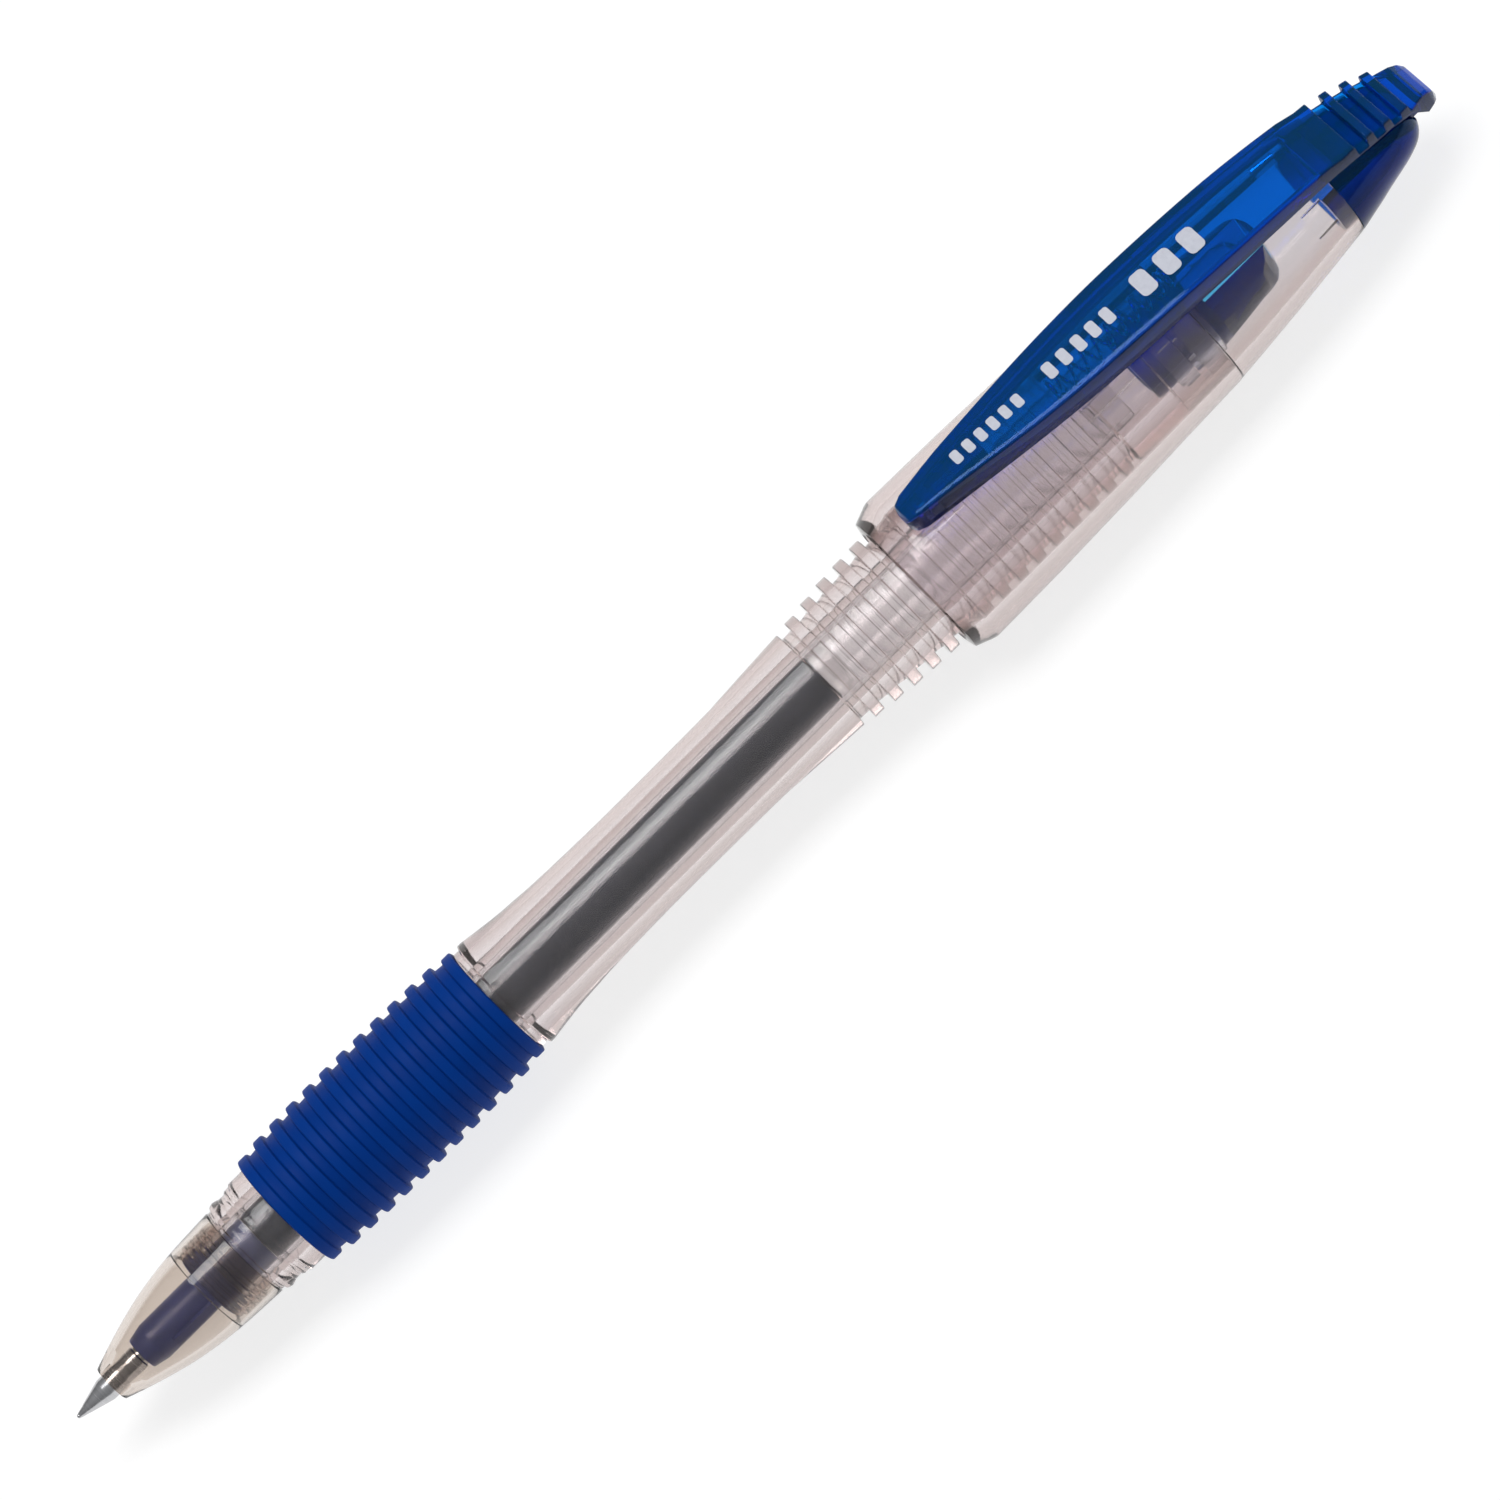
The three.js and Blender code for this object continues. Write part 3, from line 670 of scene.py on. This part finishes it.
def lower_barrel_outline():
    """The thread, the bead and the seat for the grip, the waist, the ribs and the rear spigot."""
    outline = [(14.3, 3.3), (14.5, THREAD_CORE)]
    for turn in range(THREAD_TURNS):
        centre = THREAD_FIRST + turn * THREAD_PITCH
        outline += ring(centre, THREAD_CREST, THREAD_CORE, THREAD_LAND / 2, 0.1)
    outline += [
        (18.1, THREAD_CORE), (18.1, 4.05), (18.35, 4.05), (18.5, 4.33), (18.85, 4.42),
        (19.2, 4.33), (19.4, 4.24), (19.95, 4.24), (20.15, 4.41), (20.6, 4.42), (20.75, 4.57),
        (GRIP_FRONT - FIT, 4.57), (GRIP_FRONT - FIT, GRIP_BORE - FIT),
        (GRIP_REAR + FIT, GRIP_BORE - FIT), (GRIP_REAR + FIT, 4.84),
        (45.85, 4.84), (46.0, 5.14), (46.35, 5.14),
    ]
    outline += spline([(47.8, 4.94), (49.7, 4.71), (51.7, 4.57), (53.6, 4.45), (57.4, 4.34),
                       (61.2, 4.29), (66, 4.3), (71.0, 4.33)], 4)
    outline += [(72.4, 4.36), (76.5, 4.6), (80.1, 4.8), (80.2, 4.27)]
    core = 4.95
    exposed = [(5.01, 4.3), (5.22, 4.42), (5.43, 4.59), (5.53, 4.67), (5.6, 4.82)]
    hidden = [(5.5, core)] * HIDDEN_RIBS
    for i, (radius, base) in enumerate(exposed + hidden):
        outline += ring(RIB_FIRST + i * RIB_PITCH, radius, base, RIB_WIDTH / 2, 0.03)
    spigot = SKIRT_BORE - 0.17
    return outline + [(109.0, core), (109.2, spigot), (JOINT_STATION, spigot)]


def build_lower_barrel():
    chamber_front = 114.4
    bore = [(14.3, 3.15), (20.0, 3.15), (20.2, 3.2), (chamber_front, 3.2),
            (chamber_front, CAM_CHAMBER), (JOINT_STATION, CAM_CHAMBER)]
    return turned("pen_lower_barrel", lower_barrel_outline(), bore, soften=0.08)


def build_grip():
    """The ringed sleeve, which swells a little at its middle."""
    inset = GRIP_HALF_TOP + GRIP_DRAFT
    end_radius, end_crest, end_valley = 5.05, 5.24, 4.9
    crest_swell, valley_swell = 0.42, 0.27
    pitch = (GRIP_REAR - GRIP_FRONT - 2 * inset) / (GRIP_RINGS - 1)
    outline = []
    for i in range(GRIP_RINGS):
        swell = 1 - (2 * i / (GRIP_RINGS - 1) - 1) ** 2
        radius = end_crest + crest_swell * math.sqrt(swell)
        valley = end_valley + valley_swell * swell
        centre = GRIP_FRONT + inset + i * pitch
        outline += ring(centre, radius, valley, GRIP_HALF_TOP, GRIP_DRAFT)
    outline[0] = (GRIP_FRONT, end_radius)
    outline[-1] = (GRIP_REAR, end_radius)
    bore = [(GRIP_FRONT, GRIP_BORE), (GRIP_REAR, GRIP_BORE)]
    return turned("pen_grip_sleeve", outline, bore, soften=0.16)


# ------------------------------------------------------------------ upper barrel and tail cap

def build_upper_barrel():
    """The wide barrel, with the slot that the clip runs over and two pockets for the cap's snaps."""
    outside = [
        (SKIRT_FRONT, 5.85), (SKIRT_FRONT + 0.15, 6.55), (SKIRT_FRONT + 1.5, SKIRT_RADIUS - 0.12),
        (SKIRT_FRONT + 1.9, SKIRT_RADIUS), (99.5, 7.08), (103.3, 6.96), (107.1, 6.85),
        (112.9, 6.62), (119.0, 6.42), (119.25, 6.37), (122.4, 6.1), (126.3, 5.72), (130.1, 5.3),
        (BARREL_END, 4.86),
    ]
    bore = [
        (SKIRT_FRONT, SKIRT_BORE + 0.1), (92.0, SKIRT_BORE), (108.2, SKIRT_BORE), (115.5, 5.45),
        (119.3, 5.44), (119.3, 5.15), (122.4, 4.95), (126.3, 4.62), (130.1, 4.28), (132.5, 4.02),
        (BARREL_END, 4.02),
    ]
    barrel = turned("pen_upper_barrel", outside, bore, soften=0.1)
    slot_front, slot_half_width, slot_floor, above = 107.6, 1.9, 3.4, 12
    slot = block(slot_front, BARREL_END + 1, slot_half_width, slot_floor, above)
    combine(barrel, slot, "DIFFERENCE")
    pocket_half_width, pocket_low, pocket_high = 1.1, 3.05, 4.45
    for turn in (-SNAP_ANGLE, SNAP_ANGLE):
        pocket = block(SNAP_FRONT, SNAP_REAR, pocket_half_width, pocket_low, pocket_high, turn)
        combine(barrel, pocket, "DIFFERENCE")
    return crease_again(barrel)


def build_tail_cap():
    """The hollow bullet cap, slotted above so that the slider can pass."""
    step, floor = BARREL_END + FIT, 141.3
    outside = [(CAP_FRONT, CAP_SPIGOT), (step, CAP_SPIGOT), (step, 4.86)]
    outside += spline([(136.6, 4.29), (137.7, 4.02), (139.7, 3.59), (140.8, 3.27), (141.6, 2.93),
                       (142.2, 2.45), (CAP_END, 1.95)], 3)
    hollow = [(CAP_FRONT, CAP_BORE), (134.6, CAP_BORE), (137.7, 3.05), (139.7, 2.62),
              (141.0, 2.1), (floor, 1.5)]
    profile = [(CAP_END, 0), *reversed(outside), *hollow, (floor, 0)]
    cap = finish_mesh(turned_bmesh(fillet(profile, 0.1), SIDES), "pen_tail_cap")
    slot = [(132, 2.6), (139, 2.5), (141, 2.35), (142.3, 2.2), (144, 2.2)]
    slot_floor, above = 0.2, 8
    combine(cap, prism(mirrored(slot), slot_floor, above), "DIFFERENCE")
    return crease_again(cap)


# ------------------------------------------------------------------ clip slider and latch

def slider_top_line():
    """The blade, four thumb ridges and the knob, seen from the side."""
    blade = spline([(93.9, 10.02), (96.5, 10.06), (98.9, 10.0), (105.3, 9.52), (110.4, 9.25),
                    (115.6, 8.98), (121.3, 8.45), (127.1, 7.78), (131.2, 7.1), (134.2, 6.48)], 5)
    ridges = [  # front, rear, height, fall towards the rear, height of the valley behind
        (135.8, 136.92, 5.85, 0.1, 4.35),
        (138.1, 138.8, 5.38, 0.15, 3.78),
        (139.85, 140.55, 4.64, 0.18, 3.05),
        (141.5, 142.3, 3.66, 0.22, 2.45),
    ]
    line = [(CLIP_FRONT, 9.2), (CLIP_FRONT + 0.25, 9.8), *blade]
    for i, (front, rear, top, fall, valley) in enumerate(ridges):
        line += [(front, top), (rear, top - fall), (rear + 0.05, valley)]
        if i < len(ridges) - 1:
            line.append((ridges[i + 1][0] - 0.05, valley - 0.3))
    knob = [(143.75, 2.25), (144.4, 1.85), (144.8, 1.2), (LENGTH, 0.2)]
    return fillet(line + knob, 0.14)


SLIDER_LOWER_LINE = [
    (CLIP_FRONT, 7.9), (93.5, 7.5), (98.9, 7.36), (105.3, 7.08), (110.0, 6.82), (115.6, 6.56),
    (121.0, 6.2), (127.6, 5.6), (134.4, 4.72), (136.7, 4.1), (138.7, 3.45), (140.45, 2.9),
    (142.2, 1.9), (142.85, 1.45), (142.95, -0.55), (144.8, -0.55), (LENGTH, -0.4),
]


def slider_plan():
    """Half the slider's width along its length, from above."""
    leaf = spline([(93.9, 1.24), (98.9, 1.9), (105.3, 2.64), (110.5, 3.03), (115.6, 3.22),
                   (121.3, 3.3), (127.1, 3.26), (132.8, 3.08), (136.7, 2.9), (140.45, 2.56),
                   (142.2, 2.34), (143.6, 2.0)], 4)
    tip = [(CLIP_FRONT, 0.55), (CLIP_FRONT + 0.12, 0.82), (CLIP_FRONT + 0.35, 1.03)]
    return [*tip, *leaf, (144.7, 1.74), (LENGTH, 1.4)]


def slider_section(station, top, low, width):
    """A cross-section of the slider with rounded upper edges and a slight crown."""
    top -= SURFACE_INSET
    edge = min(0.25, 0.4 * (top - low), 0.4 * width)
    crown = min(CROWN, edge / 2)
    chamfer = 0.08
    arc = []
    for angle in (0, math.pi / 8, math.pi / 4, 3 * math.pi / 8, math.pi / 2):
        across = width - edge + edge * math.sin(angle)
        arc.append((across, top - crown - edge + edge * math.cos(angle)))
    middle = [(share * (width - edge), top - crown * share ** 2) for share in (0, 0.35, 0.7)]
    right = middle + arc + [(width, low + chamfer), (width - chamfer, low)]
    left = [(-across, up) for across, up in reversed(right[1:])]
    return [place(station, across, up) for across, up in right + left]


def slider_body():
    """The solid blade, ridges and knob, lofted through cross-sections."""
    plan = slider_plan()
    bm = bmesh.new()
    sections = []
    for station, top in slider_top_line():
        low = at_station(SLIDER_LOWER_LINE, station)
        width = at_station(plan, station)
        spots = slider_section(station, top, low, width)
        sections.append([bm.verts.new(spot) for spot in spots])
    for front, rear in zip(sections, sections[1:]):
        join_rings(bm, front, rear)
    bm.faces.new(sections[0])
    bm.faces.new(sections[-1])
    return finish_mesh(bm, "pen_clip_slider")


def slider_hollow():
    """The space under the blade, between its roof and its side walls."""
    roof, wall, front, rear = 1.0, 0.8, 94.4, 133.6
    inside = [(s, h - roof) for s, h in slider_top_line() if front < s < rear]
    outline = [(front, inside[0][1]), *inside, (rear, inside[-1][1] - 0.4), (rear, 0), (front, 0)]
    beside, under, above = 4, -1, 12  # past the slider on every side
    hollow = prism(outline, -beside, beside, upright=True)
    narrowest, plan_rear = 0.3, 140
    plan = [(s, w - wall) for s, w in slider_plan() if w - wall > narrowest and s < plan_rear]
    combine(hollow, prism(mirrored(plan), under, above), "INTERSECT")
    return hollow


def slider_foot():
    """The hollow plunger, its shoulder, the shoe and the neck."""
    cup = [
        (PLUNGER_FLOOR, 0), (PLUNGER_FLOOR, PLUNGER_BORE), (PLUNGER_FRONT, PLUNGER_BORE),
        (PLUNGER_FRONT, PLUNGER_RADIUS - 0.2), (PLUNGER_FRONT + 0.2, PLUNGER_RADIUS),
        (PLUNGER_REAR, PLUNGER_RADIUS), (PLUNGER_REAR, 0),
    ]
    foot = finish_mesh(turned_bmesh(fillet(cup, 0.05), SIDES), "foot")
    shoe = turned("shoe", [(SHOE_FRONT, SHOE_RADIUS), (124.6, 3.2), (127.7, 3.0)])
    plan = [(119, 3.4), (124.6, 3.1), (125.6, 2.8), (126.5, 2.3), (127.2, 1.55), (127.55, 0.7),
            (127.62, 0.2)]
    sole, instep = -2.3, 2.6
    combine(shoe, prism(mirrored(plan), sole, instep), "INTERSECT")
    combine(foot, shoe, "UNION")
    shoulder = turned("shoulder", [(SHOE_FRONT, SHOE_RADIUS), (120.9, 3.6)])
    combine(foot, shoulder, "UNION")
    neck_front, neck_rear, neck_half_width, neck_top = 120.2, 127.2, 1.6, 7.65
    combine(foot, block(neck_front, neck_rear, neck_half_width, 0, neck_top), "UNION")
    return foot


def build_clip_slider():
    """The hollow blade with its ridges and knob, the keel under them, the nib and the foot."""
    slider = slider_body()
    combine(slider, slider_hollow(), "DIFFERENCE")
    keel = [(134.9, 5.4), (136, 4.9), (138, 3.95), (140, 3.3), (141, 2.8), (143.2, 1.9),
            (143.2, 0.6), (134.9, 0.6)]
    keel_half_width = 1.9
    combine(slider, prism(keel, -keel_half_width, keel_half_width, upright=True), "UNION")
    nib_front, nib_rear, nib_half_width, nib_low, nib_high = 94.9, 100.9, 0.7, 7.42, 9.5
    combine(slider, block(nib_front, nib_rear, nib_half_width, nib_low, nib_high), "UNION")
    combine(slider, slider_foot(), "UNION")
    return crease_again(slider)


def crease_again(piece):
    """Marks the creases of a piece again after its booleans."""
    bm = bmesh.new()
    bm.from_mesh(piece.data)
    name, old = piece.name, piece.data
    piece.name = name + "_old"
    made = finish_mesh(bm, name)
    bpy.data.objects.remove(piece, do_unlink=True)
    bpy.data.meshes.remove(old)
    made.name = name
    return made


def with_teeth(piece, count, front, rear, inner, outer, width, start):
    """Adds a ring of evenly spaced teeth, the first at the start angle."""
    for i in range(count):
        turn = start + 2 * math.pi * i / count
        combine(piece, block(front, rear, width / 2, inner, outer, turn), "UNION")
    return crease_again(piece)


def build_rotor():
    """The turning ring of the latch, with four lugs."""
    rear = CAM_FRONT + 1.6
    ring_body = turned("pen_cam_rotor", [(CAM_FRONT, CAM_WALL), (rear, CAM_WALL)],
                       [(CAM_FRONT, CAM_BORE), (rear, CAM_BORE)])
    return with_teeth(ring_body, count=4, front=CAM_FRONT + 0.3, rear=rear, inner=3.45,
                      outer=CAM_RADIUS, width=1.5, start=math.pi / 4)


def build_crown():
    """The flanged ring behind the rotor, with eight teeth that face it."""
    front, flange, rear = CAM_FRONT + 2.1, 118.9, 119.95
    outside = [(front, CAM_WALL), (flange, CAM_WALL), (flange, CAM_RADIUS), (rear, CAM_RADIUS)]
    ring_body = turned("pen_cam_crown", outside, [(front, CAM_BORE), (rear, CAM_BORE)])
    return with_teeth(ring_body, count=8, front=front - 0.4, rear=front + 0.2, inner=3.28,
                      outer=3.62, width=0.9, start=0)


def build_cam_sleeve():
    """The fixed outer ring of the latch, with eight teeth."""
    front, rear = CAM_FRONT + 2.3, JOINT_STATION - 0.1
    inner, outer = CAM_RADIUS + FIT, CAM_CHAMBER - FIT
    ring_body = turned("pen_cam_sleeve", [(front, outer), (rear, outer)],
                       [(front, inner), (rear, inner)])
    return with_teeth(ring_body, count=8, front=front - 0.6, rear=front + 0.2, inner=4.1,
                      outer=4.45, width=1.1, start=math.pi / 8)


# ------------------------------------------------------------------ printed marks

PRINT_GROUPS = [  # first bar, pitch, count, length along the pen, width across it
    (99.0, 1.25, 6, 0.75, 1.2),
    (108.6, 1.5, 5, 0.85, 1.5),
    (118.3, 2.4, 3, 1.5, 2.3),
]


def rounded_bar(bm, centre, length, width):
    """A flat rounded bar that lies just over the clip's face."""
    corners = []
    roundness, steps = 0.6, 4
    radius = min(length, width) / 2 * roundness
    for quarter, (sx, sy) in enumerate(((1, 1), (-1, 1), (-1, -1), (1, -1))):
        for k in range(steps + 1):
            angle = math.pi / 2 * (quarter + k / steps)
            x = sx * (length / 2 - radius) + radius * math.cos(angle)
            y = sy * (width / 2 - radius) + radius * math.sin(angle)
            corners.append((centre + x, y))
    add_print(bm, corners)


def add_print(bm, outline):
    """Adds a thin printed patch over the blade, following its top line."""
    top_line = slider_top_line()
    lift, thickness, face_half_width = 0.004, 0.02, 2.7
    layers = []
    for rise in (lift, lift + thickness):
        layer = []
        for station, across in outline:
            crown = CROWN * min(1, abs(across) / face_half_width) ** 2
            up = at_station(top_line, station) - SURFACE_INSET - crown + rise
            layer.append(bm.verts.new(place(station, across, up)))
        layers.append(layer)
    join_rings(bm, layers[0], layers[1])
    bm.faces.new(layers[0])
    bm.faces.new(layers[1])


def build_print():
    """Plain bars where a printed legend would be."""
    bm = bmesh.new()
    for first, pitch, count, length, width in PRINT_GROUPS:
        for i in range(count):
            rounded_bar(bm, first + i * pitch, length, width)
    return finish_mesh(bm, "pen_clip_print")


# ------------------------------------------------------------------ assembly

def hang_return_spring(wire):
    """The coil, which lies between the barrel in front and the slider behind."""
    path = helix(SPRING_FRONT, SPRING_REAR, radius=0.86, turns=9, height=SPRING_HEIGHT)
    coil = sweep("pen_return_spring", path, radius=0.13)
    coil.data.materials.append(wire)
    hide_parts("return_spring")
    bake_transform(coil)


def build_refill(wire):
    """The refill, from the ball at its front to the plug at its rear."""
    steel = turned_steel()
    tube = natural_plastic("tube_plastic", (0.95, 0.94, 0.94), (0.98, 0.97, 0.97), 0.98)
    plug = natural_plastic("plug_plastic", (0.93, 0.91, 0.91), (0.97, 0.96, 0.95), 0.95)
    follower = natural_plastic("follower_gel", (0.92, 0.91, 0.9), (0.96, 0.95, 0.94), 0.93)
    hand_over(build_ball(), "writing_ball", "refill", steel)
    hand_over(build_tip(), "writing_tip", "refill", steel)
    hand_over(build_holder(), "tip_holder", "refill", navy_plastic())
    path = helix(1.8, 7.15, radius=0.33, turns=7)
    fine = sweep("pen_ball_spring", path, radius=0.05, sides=8)
    hand_over(fine, "ball_spring", "refill", wire)
    hand_over(build_tube(), "ink_tube", "refill", tube)
    ink = build_filling("pen_ink", INK_FRONT, INK_REAR, 0.05)
    hand_over(ink, "ink_column", "refill", gel_ink())
    grease = build_filling("pen_follower", INK_REAR + FIT, FOLLOWER_REAR, 0.4)
    hand_over(grease, "ink_follower", "refill", follower)
    hand_over(build_plug(), "tail_plug", "refill", plug)


def build_pen():
    wire, blue, frosted = spring_wire(), blue_plastic(), frosted_plastic()
    cam = natural_plastic("cam_plastic", (0.9, 0.94, 0.99), (0.94, 0.97, 1.0), 0.96)
    build_refill(wire)

    hand_over(build_nose(), "nose_cone", "nose", clear_plastic())
    hand_over(build_lower_barrel(), "lower_barrel", "barrel", frosted)
    hand_over(build_grip(), "grip_sleeve", "barrel", grip_rubber())
    hand_over(build_upper_barrel(), "upper_barrel", "barrel", frosted)
    hand_over(build_tail_cap(), "tail_cap", "barrel", blue)
    hand_over(build_cam_sleeve(), "cam_sleeve", "barrel", cam)

    hand_over(build_clip_slider(), "clip_slider", "knock", blue)
    hand_over(build_crown(), "cam_crown", "knock", cam)
    hand_over(build_rotor(), "cam_rotor", "rotor", cam)
    hang_return_spring(wire)

    marks = build_print()
    marks.data.materials.append(white_print())
    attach(marks, "knock")


# ------------------------------------------------------------------ floor, light and camera

VIEW_TURN = math.radians(28)  # how far the view leans from straight over the clip
PEN_SLOPE = math.radians(44.8)  # how steeply the pen rises to the right in the frame
LENS = 150.0  # millimetres, as is the sensor's width
SENSOR = 36.0
PEN_SHARE = 1.26333  # the pen's length over the width of the frame, which it crosses slantwise
FLOOR_HALF_SIZE = 1.5  # metres
ROOM_DIM = 0.2  # light of the room at the horizon
ROOM_BRIGHT = 0.38  # and overhead
CLEAR_BOUNCES = 24  # enough for light to cross every clear wall


def view_axes():
    """The directions to the right, upwards and towards the camera, as the camera sees them."""
    towards = Vector((0, -math.sin(VIEW_TURN), math.cos(VIEW_TURN)))
    along = Vector((1, 0, 0))
    across = towards.cross(along)
    right = math.cos(PEN_SLOPE) * along - math.sin(PEN_SLOPE) * across
    up = math.sin(PEN_SLOPE) * along + math.cos(PEN_SLOPE) * across
    return right, up, towards


def add_camera():
    right, up, towards = view_axes()
    distance = LENS / SENSOR * LENGTH * MM / PEN_SHARE
    data = bpy.data.cameras.new("camera")
    data.lens = LENS
    data.sensor_width = SENSOR
    data.clip_start = 0.01
    data.dof.use_dof = False
    camera = bpy.data.objects.new("camera", data)
    middle = Vector((TIP_X + LENGTH / 2 * MM, 0, AXIS_Z))
    spot = middle + towards * distance
    camera.matrix_world = Matrix((
        (right.x, up.x, towards.x, spot.x),
        (right.y, up.y, towards.y, spot.y),
        (right.z, up.z, towards.z, spot.z),
        (0, 0, 0, 1),
    ))
    bpy.context.scene.collection.objects.link(camera)
    bpy.context.scene.camera = camera


def add_floor():
    bm = bmesh.new()
    bmesh.ops.create_grid(bm, x_segments=4, y_segments=4, size=FLOOR_HALF_SIZE)
    floor = finish_mesh(bm, "floor")
    floor.data.materials.append(floor_paper())


def add_softbox(name, spot, target, size, power):
    data = bpy.data.lights.new(name, "AREA")
    data.shape = "RECTANGLE"
    data.size, data.size_y = size
    data.energy = power
    lamp = bpy.data.objects.new(name, data)
    lamp.location = spot
    lamp.rotation_euler = (Vector(target) - Vector(spot)).to_track_quat("-Z", "Y").to_euler()
    bpy.context.scene.collection.objects.link(lamp)


def add_world():
    """A dim room that is brighter overhead."""
    world = bpy.data.worlds.new("studio")
    world.use_nodes = True
    tree = world.node_tree
    background = tree.nodes["Background"]
    direction = tree.nodes.new("ShaderNodeTexCoord").outputs["Generated"]
    parts = tree.nodes.new("ShaderNodeSeparateXYZ")
    tree.links.new(direction, parts.inputs["Vector"])
    strength = remap(tree, parts.outputs["Z"], ROOM_DIM, ROOM_BRIGHT)
    tree.links.new(strength, background.inputs["Strength"])
    background.inputs["Color"].default_value = (0.97, 0.98, 1, 1)
    bpy.context.scene.world = world


def add_light():
    """A softbox overhead, a little behind the pen, and a small one past the knob."""
    add_world()
    add_softbox("key", spot=(0, 0.117, 0.7), target=(0, 0, 0), size=(0.5, 0.25), power=3.1)
    add_softbox("knob_light", spot=(0.65, 0.33, 0.21), target=(0.07, 0, 0), size=(0.2, 0.25),
                power=0.25)
    scene = bpy.context.scene
    scene.view_settings.view_transform = "Standard"
    scene.cycles.max_bounces = CLEAR_BOUNCES
    scene.cycles.transmission_bounces = CLEAR_BOUNCES


add_camera()
build_pen()
add_floor()
add_light()
